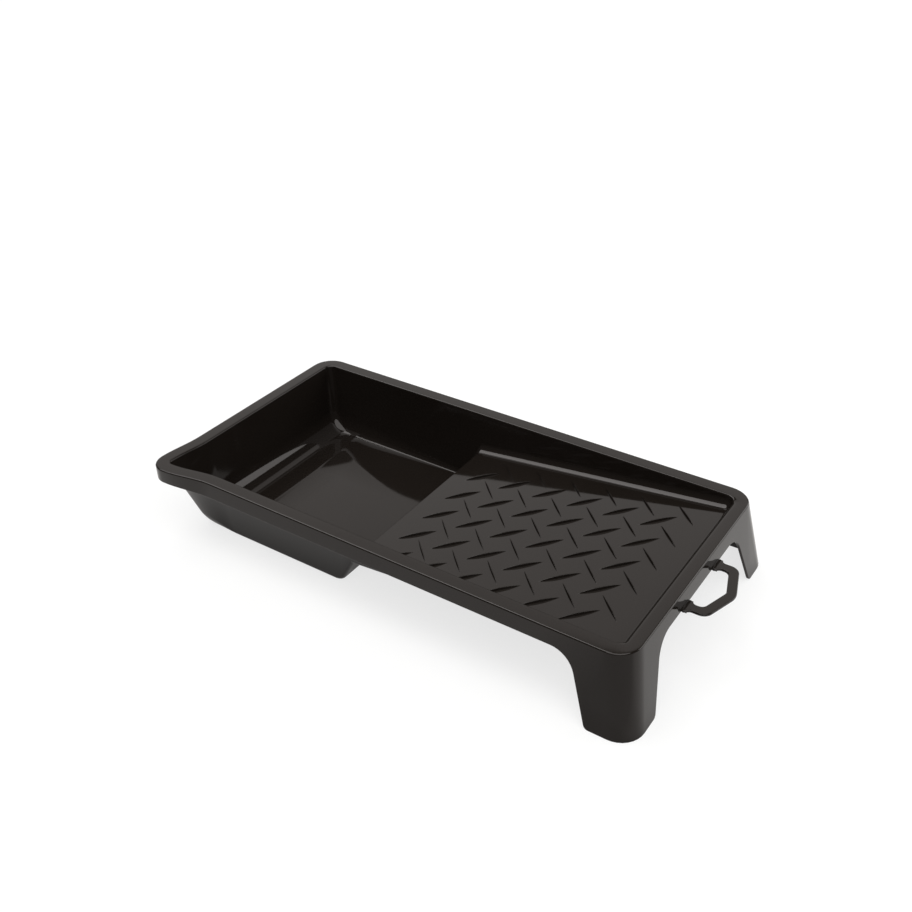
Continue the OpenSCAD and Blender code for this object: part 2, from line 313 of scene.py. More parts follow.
def conic(a, b, c):
    """Curve from a to c that leaves each along its line to b, an arc where b is as far from both."""
    weight = math.sin((a - b).angle(c - b) / 2)
    points = []
    for i in range(FILLET_STEPS + 1):
        share = i / FILLET_STEPS
        pull = (1 - share) ** 2, 2 * weight * share * (1 - share), share ** 2
        points.append((a * pull[0] + b * pull[1] + c * pull[2]) / sum(pull))
    return points


def at_height(low, high, height):
    """Point at a height on the line from a plan point on the ground to one at the tray's top."""
    return low.lerp(high, height / TOP).to_3d() + Vector((0, 0, height))


def meeting(low, high, path):
    """Where such a line meets the bed, found in a few steps because the bed slopes."""
    spot = low.to_3d()
    for _ in range(4):
        spot = at_height(low, high, height_at(path, spot.x))
    return spot


def within(share):
    """A share kept between 0 and 1."""
    return min(max(share, 0), 1)


def ease(share):
    """Share of a change that starts and ends smoothly."""
    return share * share * (3 - 2 * share)


def ring_edges(bm, ring):
    """Edges of a closed ring of vertices."""
    return [bm.edges.get(pair) for pair in zip(ring, ring[1:] + ring[:1])]


def grow(bm, ring, places):
    """Extrude a closed ring of vertices, move the new ring to its places and return it."""
    made = bmesh.ops.extrude_edge_only(bm, edges=ring_edges(bm, ring))["geom"]
    fresh = {item for item in made if isinstance(item, bmesh.types.BMVert)}
    new = [next(e.other_vert(v) for e in v.link_edges if e.other_vert(v) in fresh) for v in ring]
    for vert, place in zip(new, places):
        vert.co = place
    return new


def soften(bm, edges, radius, segments):
    """Round edges over by a radius."""
    bmesh.ops.bevel(
        bm, geom=edges, offset=radius, offset_type="OFFSET", affect="EDGES",
        segments=segments, profile=0.5, material=-1, clamp_overlap=True)


def piece(name, bm, material):
    """Object of a finished bmesh, smooth, with flat faces kept flat by their size."""
    mesh = bpy.data.meshes.new(name)
    for face in bm.faces:
        face.smooth = True
    bm.to_mesh(mesh)
    bm.free()
    mesh.materials.append(material)
    made = bpy.data.objects.new(name, mesh)
    bpy.context.scene.collection.objects.link(made)
    shade = made.modifiers.new("Flat faces", "WEIGHTED_NORMAL")
    shade.mode = "FACE_AREA"
    shade.weight = 50
    shade.keep_sharp = True
    return made


# Moulding

# How far the rim has to face along the ramp, of 1, before its inner edge starts to drop
END_FACING = 0.6

Level = namedtuple("Level", "well_x ramp_x side_y ramp_r well_r pour_r pour_end pour_front")
Turn = namedtuple("Turn", "well_end ramp_end side ramp_r well_r")
Stations = namedtuple("Stations", "front ramp_end well_end pour_x pour_y riser")


def set_in(level, gap):
    """A level's plan, set in all round by a gap."""
    return Level(*(size - gap for size in level[:6]), *level[6:])


def turn_in(level, turn):
    """A level's plan, drawn in to where the bed starts to turn up into the walls."""
    return level._replace(
        well_x=level.well_x - turn.well_end, ramp_x=level.ramp_x - turn.ramp_end,
        side_y=level.side_y - turn.side, ramp_r=turn.ramp_r, well_r=turn.well_r, pour_r=turn.well_r)


def outline(level, stations):
    """Plan of the moulding at one level: a point for each column, round the tray."""
    ramp = Vector((level.ramp_x - level.ramp_r, level.side_y - level.ramp_r))
    well = Vector((level.well_x - level.well_r, level.side_y - level.well_r))
    tip = Vector((
        level.well_x + level.pour_end - level.pour_r, level.side_y + level.pour_front - level.pour_r))
    shares = [i / ARC_STEPS for i in range(ARC_STEPS + 1)]
    turns = [(math.cos(s * math.pi / 2), math.sin(s * math.pi / 2)) for s in shares]
    points = [(x, -level.side_y) for x in stations.front]
    points += [(ramp.x + level.ramp_r * s, -ramp.y - level.ramp_r * c) for c, s in turns]
    points += [(level.ramp_x, y) for y in stations.ramp_end]
    points += [(ramp.x + level.ramp_r * c, ramp.y + level.ramp_r * s) for c, s in turns]
    points += [(x, level.side_y) for x in reversed(stations.front)]
    points += [(-well.x - level.well_r * s, well.y + level.well_r * c) for c, s in turns]
    points += [(-level.well_x, y) for y in stations.well_end]
    for share in shares[:-1]:
        y = stations.pour_y + (-tip.y - stations.pour_y) * share
        points.append((-level.well_x - level.pour_end * ease(share), y))
    points += [(-tip.x - level.pour_r * c, -tip.y - level.pour_r * s) for c, s in turns]
    for share in reversed(shares[:-1]):
        x = stations.pour_x + (-tip.x - stations.pour_x) * share
        points.append((x, -level.side_y - level.pour_front * ease(share)))
    return [Vector(point) for point in points]


class Moulding:
    """Works out the rings of points that the moulding is drawn through."""

    def __init__(self, sizes):
        self.sizes = sizes
        inner_l = FLOOR_LOW.x - RIM_X
        self.narrow = HALF_L - FLANGE + inner_l
        self.lean = math.atan(self.narrow / TOP)
        self.bed, self.under = self.bed_paths()
        self.arch_x = self.arch_path(HALF_L + SPREAD)
        self.arch_y = self.arch_path(HALF_W + SPREAD)
        self.stations = self.lay_out_stations()
        foot_r = sizes.well_corner + FLANGE
        pour_end = RIM_X - POUR_LOW.x - HALF_L
        pour_front = sizes.pour_front_out
        corner_r = RIM_END - RIM_HIGH.x
        self.rim = Level(
            HALF_L, HALF_L, HALF_W, corner_r, corner_r, sizes.pour_radius, pour_end, pour_front)
        # The skirt leans out all round, but less and less towards the pouring corner's tip
        self.ground = Level(
            HALF_L + SPREAD, HALF_L + SPREAD, HALF_W + SPREAD, sizes.leg_corner, corner_r,
            sizes.pour_radius, pour_end - SPREAD, pour_front - SPREAD)
        self.foot = Level(
            HALF_L - self.narrow, HALF_L - self.narrow, HALF_W - self.narrow,
            foot_r, foot_r, foot_r, 0, 0)
        step = 0.1 * MM
        near = self.plan(self.foot)
        far = self.plan(set_in(self.foot, step))
        self.inward = [(b - a) / step for a, b in zip(near, far)]

    def turn(self, well_end, ramp_end, side, corner):
        """Room in plan that the bed's rounded edges take up, from their radii."""
        share = math.tan((math.pi / 2 - self.lean) / 2)
        return Turn(well_end * share, ramp_end * share, side * share, self.sizes.deck_corner, corner)

    def bed_paths(self):
        """Side views of the bed's top and underside, from the well's end to the ramp's."""
        sizes = self.sizes
        edge = Vector((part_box("well_front_wall")[1].x - RIM_X, RISER_HIGH.z))
        run = 1 / math.tan(sizes.riser_angle)
        foot = Vector((edge.x - (edge.y - FLOOR_HIGH.z) * run, FLOOR_HIGH.z))
        top = Vector((DECK_HIGH.x - RIM_X, DECK_HIGH.z))
        slope = (top.y - edge.y) / (top.x - edge.x)
        end = Vector((HALF_L, edge.y + slope * (HALF_L - edge.x)))
        drop = WALL * math.hypot(1, slope)
        shift = WALL / math.sin(sizes.riser_angle)
        low_foot = Vector((foot.x - FLOOR_HIGH.z * run + shift, 0))
        rise = (edge.y - drop + slope * (low_foot.x - edge.x)) / (1 - slope * run)
        low_edge = Vector((low_foot.x + rise * run, rise))
        bed = rounded_path(
            [Vector((-HALF_L, FLOOR_HIGH.z)), foot, edge, end], [sizes.riser_fillet, sizes.deck_edge])
        under = rounded_path(
            [Vector((-HALF_L, 0)), low_foot, low_edge, Vector((end.x, end.y - drop))],
            [sizes.riser_fillet + WALL, sizes.deck_edge])
        return bed, under

    def arch_path(self, reach):
        """Lower edge of the skirt and a leg along one face, out to the leg's corner."""
        sizes = self.sizes
        foot = reach - sizes.leg_width
        shoulder = foot - SKIRT_LOW * math.tan(sizes.leg_edge_lean)
        points = [Vector(p) for p in ((-reach, SKIRT_LOW), (shoulder, SKIRT_LOW), (foot, 0), (reach, 0))]
        return rounded_path(points, [sizes.arch_radius, sizes.foot_radius])

    def lay_out_stations(self):
        """Places of the columns along the straight sides."""
        sizes = self.sizes
        riser = sorted({round(p.x, 6) for p in self.bed[1:-1] + self.under[1:-1]})
        arch_x = [p.x for p in self.arch_x[1:-1]]
        arch_y = [p.x for p in self.arch_y[1:-1]]
        pour_x = sizes.pour_front_run - HALF_L
        pour_y = sizes.pour_end_run - HALF_W
        high = HALF_W - FLANGE - self.narrow - sizes.well_corner
        well_end = [high + (pour_y - high) * i / WELL_END_STEPS for i in range(1, WELL_END_STEPS)]
        return Stations(
            riser + arch_x, [-y for y in reversed(arch_y)] + arch_y, well_end, pour_x, pour_y, riser)

    def skirt_height(self, point, inward):
        """Height of the skirt's or leg's lower edge at one column."""
        if abs(inward.y) >= abs(inward.x):
            return height_at(self.arch_x, point.x)
        return height_at(self.arch_y, abs(point.y)) if point.x > 0 else SKIRT_LOW

    def plan(self, level):
        """Plan at one level, with a point for each of the moulding's columns."""
        return outline(level, self.stations)

    def skirt_ring(self, gap, heights):
        """Ring on a face of the skirt and legs."""
        columns = zip(self.plan(set_in(self.ground, gap)), self.plan(set_in(self.rim, gap)), heights)
        return [at_height(*column) for column in columns]

    def flat_ring(self, gap, height):
        """Level ring on the rim."""
        return [p.to_3d() + Vector((0, 0, height)) for p in self.plan(set_in(self.rim, gap))]

    def rim_ring(self, gap, drop):
        """Inner ring of the rim, let down across the ramp's end."""
        facing = [within((-n.x - END_FACING) / (1 - END_FACING)) for n in self.inward]
        return [p - Vector((0, 0, drop * ease(f))) for p, f in zip(self.flat_ring(gap, TOP), facing)]

    def wall_rings(self, gap, path, turn, widen):
        """Rings that curve from an inner wall down to the last one, on the bed, wider on the ramp."""
        low, high = set_in(self.foot, gap), set_in(self.rim, gap)
        walls = zip(self.plan(low), self.plan(high))
        beds = zip(self.plan(turn_in(low, turn)), self.plan(turn_in(high, turn)))
        curves = []
        for (wall_low, wall_high), bed in zip(walls, beds):
            corner = meeting(wall_low, wall_high, path)
            inner = meeting(*bed, path)
            climb = (corner.z - FLOOR_HIGH.z) / (RISER_HIGH.z - FLOOR_HIGH.z)
            inner = corner + (inner - corner) * (1 + (widen - 1) * within(climb))
            up = (at_height(wall_low, wall_high, TOP) - wall_low.to_3d()).normalized()
            curves.append(conic(corner + up * (inner - corner).length, corner, inner))
        return list(zip(*curves))

    def bridge_bed(self, bm, ring):
        """Close the riser across the tray, from the front's columns to the back's."""
        riser = set(self.stations.riser)
        front = [i for i, x in enumerate(self.stations.front) if x in riser]
        last = len(self.stations.front) - 1
        back_start = len(self.stations.front) + 2 * (ARC_STEPS + 1) + len(self.stations.ramp_end)
        back = [back_start + last - i for i in front]
        edges = []
        for side in (front, back):
            edges += [bm.edges.get((ring[i], ring[j])) for i, j in zip(side, side[1:])]
        bmesh.ops.bridge_loops(bm, edges=edges)


def make_moulding(sizes):
    """The moulding as one closed bmesh, drawn in rings from under the bed, over the rim and back in."""
    form = Moulding(sizes)
    rim = form.plan(form.rim)
    low = [form.skirt_height(p, n) for p, n in zip(rim, form.inward)]
    inner_turn = form.turn(sizes.end_fillet, sizes.ramp_end_fillet, sizes.side_fillet, sizes.floor_corner)
    under_turn = form.turn(sizes.under_end, sizes.ramp_end_fillet, sizes.under_side, sizes.under_corner)
    inside = form.wall_rings(FLANGE, form.bed, inner_turn, sizes.deck_fillet / sizes.side_fillet)
    under = form.wall_rings(FLANGE - WALL, form.under, under_turn, 1)
    level = [FLANGE_Z] * len(rim)
    bm = bmesh.new()
    bed_under = bmesh.ops.create_circle(bm, segments=len(rim), radius=HALF_L)["verts"]
    for vert, place in zip(bed_under, under[-1]):
        vert.co = place
    ring = bed_under
    for places in reversed(under[:-1]):
        ring = grow(bm, ring, places)
    ring = grow(bm, ring, form.flat_ring(FLANGE - WALL, FLANGE_Z))
    ring = grow(bm, ring, form.skirt_ring(WALL, level))
    skirt_in = grow(bm, ring, form.skirt_ring(WALL, low))
    skirt_out = grow(bm, skirt_in, form.skirt_ring(0, low))
    rim_out = grow(bm, skirt_out, form.flat_ring(0, TOP))
    ring = grow(bm, rim_out, form.flat_ring(FLANGE - sizes.end_turn, TOP))
    rim_in = grow(bm, ring, form.rim_ring(FLANGE, sizes.end_drop))
    ring = rim_in
    for places in inside:
        ring = grow(bm, ring, places)
    for bed in (bed_under, ring):
        form.bridge_bed(bm, bed)
    bmesh.ops.holes_fill(bm, edges=[e for e in bm.edges if e.is_boundary], sides=0)
    soften(bm, ring_edges(bm, rim_out), sizes.rim_edge, RIM_STEPS)
    soften(bm, ring_edges(bm, rim_in), sizes.inner_edge, RIM_STEPS)
    free = ring_edges(bm, skirt_in) + ring_edges(bm, skirt_out)
    soften(bm, free, sizes.free_edge, FREE_STEPS)
    bmesh.ops.translate(bm, verts=bm.verts, vec=(RIM_X, 0, 0))
    bmesh.ops.recalc_face_normals(bm, faces=bm.faces)
    return bm


class TRAY_OT_moulding(bpy.types.Operator):
    """Make the tray's body: rim, skirt, legs, well, riser and ramp in one skin"""

    bl_idname = "tray.moulding"
    bl_label = "Moulding"

    def execute(self, context):
        bm = make_moulding(settings().moulding)
        tray = piece("tray_moulding", bm, moulded_polypropylene())
        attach(tray, "tray")
        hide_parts(*TRAY_NODES)
        return {"FINISHED"}


# Tread

RIB_TURN = math.radians(45)
RIB_STEPS = 12
# Shares of a rib's half width and height, from its base to its rounded crest
RIB_SECTION = ((1, 0), (0.5, 0.88), (0.22, 1))
RIB_STRIPS = 2 * len(RIB_SECTION) - 1


def add_rib(bm, sizes, place):
    """One rib: a thin steep blade with a rounded crest that falls to a point at each end."""
    made = bmesh.ops.create_grid(bm, x_segments=RIB_STEPS, y_segments=RIB_STRIPS, size=1)["verts"]
    for vert in made:
        along, across = vert.co.x, vert.co.y
        swell = 1 - along * along
        reach, rise = RIB_SECTION[round((1 - abs(across)) * RIB_STRIPS / 2)]
        side = math.copysign(reach, across) * swell * sizes.width / 2
        vert.co = (along * sizes.length / 2, side, rise * swell * sizes.height)
    base = [e for e in {e for v in made for e in v.link_edges} if e.is_boundary]
    root = bmesh.ops.extrude_edge_only(bm, edges=base)["geom"]
    below = [item for item in root if isinstance(item, bmesh.types.BMVert)]
    bmesh.ops.translate(bm, verts=below, vec=(0, 0, -sizes.root))
    rim = [item for item in root if isinstance(item, bmesh.types.BMEdge) and item.is_boundary]
    bmesh.ops.contextual_create(bm, geom=rim)
    for edge in base:
        edge.smooth = False
    bmesh.ops.transform(bm, matrix=place, verts=made + below)


class TRAY_OT_tread(bpy.types.Operator):
    """Make the ribs that stand on the ramp's deck"""

    bl_idname = "tray.tread"
    bl_label = "Tread"

    def execute(self, context):
        sizes = settings().tread
        edge = Vector((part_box("well_front_wall")[1].x, 0, RISER_HIGH.z))
        rise = Vector((DECK_HIGH.x - edge.x, 0, DECK_HIGH.z - edge.z))
        slope = math.atan2(rise.z, rise.x)
        run = (HALF_L - FLANGE + RIM_X - edge.x) / math.cos(slope)
        first = (run - (sizes.columns - 0.5) * sizes.pitch) / 2 + sizes.shift_x
        side = (sizes.rows - 0.5) * sizes.pitch / 2 - sizes.shift_y
        deck = Matrix.Translation(edge) @ Matrix.Rotation(-slope, 4, "Y")
        bm = bmesh.new()
        for column in range(sizes.columns):
            for row in range(sizes.rows):
                for half, turn in ((0, RIB_TURN), (0.5, -RIB_TURN)):
                    x = first + (column + half) * sizes.pitch
                    y = (row + half) * sizes.pitch - side
                    spot = Matrix.Translation((x, y, 0)) @ Matrix.Rotation(turn, 4, "Z")
                    add_rib(bm, sizes, deck @ spot)
        bmesh.ops.remove_doubles(bm, verts=bm.verts, dist=WELD)
        bmesh.ops.recalc_face_normals(bm, faces=bm.faces)
        ribs = piece("tread_ribs_moulded", bm, moulded_polypropylene())
        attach(ribs, "tray")
        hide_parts("tread_ribs")
        return {"FINISHED"}


# Hanging loop

def loop_plan(sizes):
    """Plan of the loop from its hinge line: the outer edge from root to root, then back round the eye."""
    outer = LOOP_HIGH.y - sizes.flare
    inner = outer - sizes.band
    slant = math.hypot(outer, sizes.peak) / outer
    nose = LOOP_LOW.x - FOLD["pos_m"][0]
    tip = LOOP_HIGH.x - FOLD["pos_m"][0] + sizes.tip_radius * (slant - 1)
    shoulder = tip - sizes.peak
    inner_tip = tip - sizes.band * slant
    inner_shoulder = inner_tip - sizes.peak * inner / outer
    half = [
        (nose, outer + sizes.flare, 0), (0, outer + sizes.flare, 0), (sizes.root, outer, sizes.flare),
        (shoulder, outer, sizes.shoulder_radius), (tip, 0, sizes.tip_radius),
        (inner_tip, 0, sizes.eye_radius), (inner_shoulder, inner, sizes.eye_radius),
        (sizes.root, inner, sizes.flare), (0, inner - sizes.flare, 0), (nose, inner - sizes.flare, 0),
    ]
    mirrored = [(x, -y, r) for x, y, r in half]
    corners = half[:5] + mirrored[3::-1] + mirrored[:5:-1] + half[5:]
    points = []
    for i, (x, y, radius) in enumerate(corners):
        before = Vector(corners[i - 1][:2])
        after = Vector(corners[(i + 1) % len(corners)][:2])
        here = Vector((x, y))
        points += round_corner(before, here, after, radius) if radius else [here]
    return points


class TRAY_OT_loop(bpy.types.Operator):
    """Make the hanging loop with its rounded edges"""

    bl_idname = "tray.loop"
    bl_label = "Hanging loop"

    def execute(self, context):
        sizes = settings().loop
        thickness = LOOP_HIGH.z - LOOP_LOW.z
        bm = bmesh.new()
        hinge = Vector(FOLD["pos_m"])
        lift = Vector((0, 0, -thickness / 2))
        verts = [bm.verts.new(hinge + p.to_3d() + lift) for p in loop_plan(sizes)]
        base = bm.faces.new(verts)
        made = bmesh.ops.extrude_face_region(bm, geom=[base])["geom"]
        lifted = [item for item in made if isinstance(item, bmesh.types.BMVert)]
        bmesh.ops.translate(bm, verts=lifted, vec=(0, 0, thickness))
        flat = [e for e in bm.edges if abs(e.verts[0].co.z - e.verts[1].co.z) < thickness / 2]
        soften(bm, flat, sizes.edge, LOOP_STEPS)
        bmesh.ops.recalc_face_normals(bm, faces=bm.faces)
        loop = piece("hanging_loop_moulded", bm, moulded_polypropylene())
        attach(loop, "loop")
        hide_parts("hanging_loop")
        return {"FINISHED"}


class TRAY_OT_films(bpy.types.Operator):
    """Make the thin film that each root of the loop bends on"""

    bl_idname = "tray.films"
    bl_label = "Film hinges"

    def execute(self, context):
        sizes = settings().loop
        hinge = Vector(FOLD["pos_m"])
        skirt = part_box("skirt_ramp_end")[1].x
        arm = LOOP_HIGH.y - sizes.flare - sizes.band / 2
        width = sizes.band + 2 * sizes.flare - 2 * sizes.edge
        start, end = skirt - WALL / 2, hinge.x + sizes.root / 2
        for name, side in (("film_hinge_front", -1), ("film_hinge_back", 1)):
            bm = bmesh.new()
            middle = Vector(((start + end) / 2, side * arm, hinge.z))
            size = Matrix.Diagonal((end - start, width, sizes.film, 1))
            bmesh.ops.create_cube(bm, size=1, matrix=Matrix.Translation(middle) @ size)
            long_edges = [e for e in bm.edges if abs(e.verts[0].co.x - e.verts[1].co.x) > WALL / 2]
            bmesh.ops.subdivide_edges(bm, edges=long_edges, cuts=FILM_STEPS, use_grid_fill=True)
            bmesh.ops.recalc_face_normals(bm, faces=bm.faces)
            film = piece(name, bm, moulded_polypropylene())
            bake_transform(film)
        return {"FINISHED"}


# Finishes

MATHS = "ShaderNodeMath"
RANGE = "ShaderNodeMapRange"

# Slight warp of the well's floor: where its rises to the end and the back start, how fast they curve up,
# the slant that the one to the back stops on, how softly it stops, and where both fade out
DISH_END_X = RIM_X - 94 * MM
DISH_BACK_Y = 14 * MM
DISH_END_CURVE = 4.9
DISH_BACK_CURVE = 3.3
DISH_SLANT_X = RIM_X - 46.7 * MM
DISH_SLANT = 0.45
DISH_BLEND = 6 * MM
DISH_FADE_X = (RIM_X - 112 * MM, RIM_X - 107 * MM)
DISH_FADE_Z = (2.2 * MM, 5 * MM)


def add_node(tree, kind, inputs=None, **values):
    """Add a node, set its values by name, and give its inputs a number, a colour or a link."""
    node = tree.nodes.new(kind)
    for name, value in values.items():
        if hasattr(node, name):
            setattr(node, name, value)
        else:
            node.inputs[name.replace("_", " ")].default_value = value
    for name, value in (inputs or {}).items():
        if isinstance(value, bpy.types.NodeSocket):
            tree.links.new(value, node.inputs[name])
        else:
            node.inputs[name].default_value = value
    return node


def fresh_tree(holder):
    """The emptied node tree of a material or a world."""
    holder.use_nodes = True
    holder.node_tree.nodes.clear()
    return holder.node_tree


def add_dish(tree, place, normal):
    """Slight rise of the well's floor to its end and back, which bends what it mirrors."""
    x, y, z = add_node(tree, "ShaderNodeSeparateXYZ", {"Vector": place}).outputs
    to_end = add_node(tree, MATHS, {0: DISH_END_X, 1: x}, operation="SUBTRACT").outputs[0]
    to_end = add_node(tree, MATHS, {0: to_end, 1: 0}, operation="MAXIMUM").outputs[0]
    to_back = add_node(tree, MATHS, {0: y, 1: DISH_BACK_Y}, operation="SUBTRACT").outputs[0]
    to_back = add_node(tree, MATHS, {0: to_back, 1: 0}, operation="MAXIMUM").outputs[0]
    # The rise to the back stops on a slant, further back toward the well's end
    most = add_node(tree, MATHS, {0: DISH_SLANT_X, 1: x}, operation="SUBTRACT").outputs[0]
    most = add_node(tree, MATHS, {0: most, 1: DISH_SLANT}, operation="MULTIPLY").outputs[0]
    most = add_node(tree, MATHS, {0: most, 1: 0}, operation="MAXIMUM").outputs[0]
    to_back = add_node(
        tree, MATHS, {0: to_back, 1: most, 2: DISH_BLEND}, operation="SMOOTH_MIN").outputs[0]
    rises = []
    for way, curve in ((to_end, DISH_END_CURVE), (to_back, DISH_BACK_CURVE)):
        square = add_node(tree, MATHS, {0: way, 1: way}, operation="MULTIPLY").outputs[0]
        rises.append(add_node(tree, MATHS, {0: square, 1: curve}, operation="MULTIPLY").outputs[0])
    rise = add_node(tree, MATHS, {0: rises[0], 1: rises[1]}, operation="ADD").outputs[0]
    low = add_node(
        tree, RANGE, {"Value": z}, From_Min=DISH_FADE_Z[0], From_Max=DISH_FADE_Z[1],
        To_Min=1.0, To_Max=0.0).outputs["Result"]
    clear = add_node(
        tree, RANGE, {"Value": x}, From_Min=DISH_FADE_X[0], From_Max=DISH_FADE_X[1]).outputs["Result"]
    on_floor = add_node(tree, MATHS, {0: low, 1: clear}, operation="MULTIPLY").outputs[0]
    return add_node(
        tree, "ShaderNodeBump", {"Height": rise, "Strength": on_floor, "Normal": normal}, Distance=1.0)


def moulded_polypropylene():
    """Black polypropylene from a polished mould: deep black with clear soft reflections."""
    found = bpy.data.materials.get("Moulded black polypropylene")
    if found:
        return found
    colours = settings().finish
    material = bpy.data.materials.new("Moulded black polypropylene")
    tree = fresh_tree(material)
    place = add_node(tree, "ShaderNodeTexCoord").outputs["Object"]
    # Cloudy patches about 40 mm across, where the melt cooled at other speeds, change the gloss a little
    patches = add_node(
        tree, "ShaderNodeTexNoise", {"Vector": place}, Scale=1 / (40 * MM), Detail=3.0).outputs["Fac"]
    gloss = add_node(
        tree, RANGE, {"Value": patches}, From_Min=0.3, From_Max=0.7, To_Min=0.05, To_Max=0.08)
    # Fine skin of the mould, drawn at 0.6 mm because the real one is too fine to show
    skin = add_node(tree, "ShaderNodeTexNoise", {"Vector": place}, Scale=1 / (0.6 * MM), Detail=2.0)
    bump = add_node(
        tree, "ShaderNodeBump", {"Height": skin.outputs["Fac"]}, Strength=0.02, Distance=0.05 * MM)
    dish = add_dish(tree, place, bump.outputs["Normal"])
    tint = add_node(
        tree, "ShaderNodeMix",
        {"Factor": patches, 6: (*colours.plastic, 1), 7: (*colours.rubbed, 1)}, data_type="RGBA")
    shader = add_node(
        tree, "ShaderNodeBsdfPrincipled", {
            "Base Color": tint.outputs[2], "Roughness": gloss.outputs["Result"],
            "Normal": dish.outputs["Normal"]},
        IOR=1.4, Specular_Tint=(1, 0.95, 0.93, 1))
    add_node(tree, "ShaderNodeOutputMaterial", {"Surface": shader.outputs["BSDF"]})
    return material


def studio_floor():
    """Matt white sweep: white to the eye, and in reflections white round the tray, with a painted shadow
    under it and painted shade before the front leg.
    """
    material = bpy.data.materials.new("Matt white floor")
    tree = fresh_tree(material)
    paper = add_node(tree, "ShaderNodeBsdfDiffuse", Color=(*settings().finish.floor, 1))
    place = add_node(tree, "ShaderNodeTexCoord").outputs["Object"]
    x, y, _ = add_node(tree, "ShaderNodeSeparateXYZ", {"Vector": place}).outputs
    path = add_node(tree, "ShaderNodeLightPath").outputs
    # How far a place lies outside the tray, past its sides, its well's end or its ramp's end
    past_side = add_node(tree, MATHS, {0: y}, operation="ABSOLUTE").outputs[0]
    past_side = add_node(tree, MATHS, {0: past_side, 1: HALF_W}, operation="SUBTRACT").outputs[0]
    past_well = add_node(tree, MATHS, {0: FLOOR_WELL_X, 1: x}, operation="SUBTRACT").outputs[0]
    past_ramp = add_node(tree, MATHS, {0: x, 1: RIM_X + HALF_L}, operation="SUBTRACT").outputs[0]
    past_ramp = add_node(tree, MATHS, {0: past_ramp, 1: FLOOR_RAMP_GAIN}, operation="MULTIPLY").outputs[0]
    outside = add_node(tree, MATHS, {0: past_well, 1: past_ramp}, operation="MAXIMUM").outputs[0]
    outside = add_node(tree, MATHS, {0: past_side, 1: outside}, operation="MAXIMUM").outputs[0]
    # Painted shadow: in reflections the floor's glow is dim under the tray and full outside it
    mirrored = add_node(
        tree, RANGE, {"Value": outside}, From_Min=FLOOR_PAINTED_SHADOW_EDGE[0], From_Max=FLOOR_PAINTED_SHADOW_EDGE[1],
        To_Min=FLOOR_PAINTED_SHADOW_LIFT[0], To_Max=FLOOR_PAINTED_SHADOW_LIFT[1]).outputs["Result"]
    # Painted shade: the floor before the front leg is dimmer in reflections
    beside = add_node(
        tree, RANGE, {"Value": x}, From_Min=PAINTED_SHADE_SPAN_X[0], From_Max=PAINTED_SHADE_SPAN_X[1]).outputs["Result"]
    before = add_node(
        tree, RANGE, {"Value": y}, From_Min=PAINTED_SHADE_SPAN_Y[0], From_Max=PAINTED_SHADE_SPAN_Y[1],
        To_Max=LEG_PAINTED_SHADE).outputs["Result"]
    shade = add_node(tree, MATHS, {0: beside, 1: before}, operation="MULTIPLY").outputs[0]
    shade = add_node(tree, MATHS, {0: 1, 1: shade}, operation="SUBTRACT").outputs[0]
    mirrored = add_node(tree, MATHS, {0: mirrored, 1: shade}, operation="MULTIPLY").outputs[0]
    bounced = add_node(
        tree, MATHS, {0: path["Is Glossy Ray"], 1: path["Is Transmission Ray"]},
        operation="MAXIMUM").outputs[0]
    mirrored = add_node(tree, MATHS, {0: bounced, 1: mirrored}, operation="MULTIPLY").outputs[0]
    seen = add_node(
        tree, MATHS, {0: path["Is Camera Ray"], 1: FLOOR_LIFT}, operation="MULTIPLY").outputs[0]
    lift = add_node(tree, MATHS, {0: seen, 1: mirrored}, operation="ADD").outputs[0]
    tint = add_node(
        tree, "ShaderNodeMix", {"Factor": path["Is Camera Ray"], 6: WARM, 7: WHITE}, data_type="RGBA")
    glow = add_node(tree, "ShaderNodeEmission", {"Color": tint.outputs[2], "Strength": lift})
    both = add_node(tree, "ShaderNodeAddShader", {0: paper.outputs[0], 1: glow.outputs[0]})
    # Clear from below, so that the tray's underside can be seen
    side = add_node(tree, "ShaderNodeNewGeometry").outputs["Backfacing"]
    clear = add_node(tree, "ShaderNodeBsdfTransparent")
    sheet = add_node(tree, "ShaderNodeMixShader", {0: side, 1: both.outputs[0], 2: clear.outputs[0]})
    add_node(tree, "ShaderNodeOutputMaterial", {"Surface": sheet.outputs[0]})
    return material


# Studio

# Half the floor's size, the lift that makes it white to the eye, its lift in reflections under the tray
# and outside it, dimmed under the tray as a painted shadow, and the stretch over which that painted
# shadow fades, which is sooner at the ramp's end
FLOOR_HALF = 4.0
FLOOR_LIFT = 0.74
FLOOR_PAINTED_SHADOW_LIFT = (0.16, 0.7)
FLOOR_PAINTED_SHADOW_EDGE = (-25 * MM, 35 * MM)
FLOOR_WELL_X = RIM_X - 125 * MM
FLOOR_RAMP_GAIN = 2.5
# Painted shade on the floor before the front leg: the share that it loses in reflections, and where that
# starts and is full
LEG_PAINTED_SHADE = 0.5
PAINTED_SHADE_SPAN_X = (55 * MM, 105 * MM)
PAINTED_SHADE_SPAN_Y = (-60 * MM, -95 * MM)
# Tint of the board and floor in reflections
WARM = (1, 0.975, 0.955, 1)
WHITE = (1, 1, 1, 1)

# Pale board behind the tray: the way to its middle, half its width, the fade of its sides, foot and top,
# and the brightness of the board and of the dark room round it
BOARD_WAY = (-0.545, 0.839, 0)
BOARD_HALF = math.radians(25)
BOARD_FADE = math.radians(7)
BOARD_FOOT = (0.26, 0.32)
BOARD_TOP = (0.68, 0.715)
BOARD = 0.82
ROOM = 0.05

# Small pale panel above the back of the tray: the way to it, its half width, its fade and its brightness
PANEL_WAY = (-0.03, 0.59, 0.807)
PANEL_HALF = math.radians(7)
PANEL_FADE = math.radians(4)
PANEL = 0.75

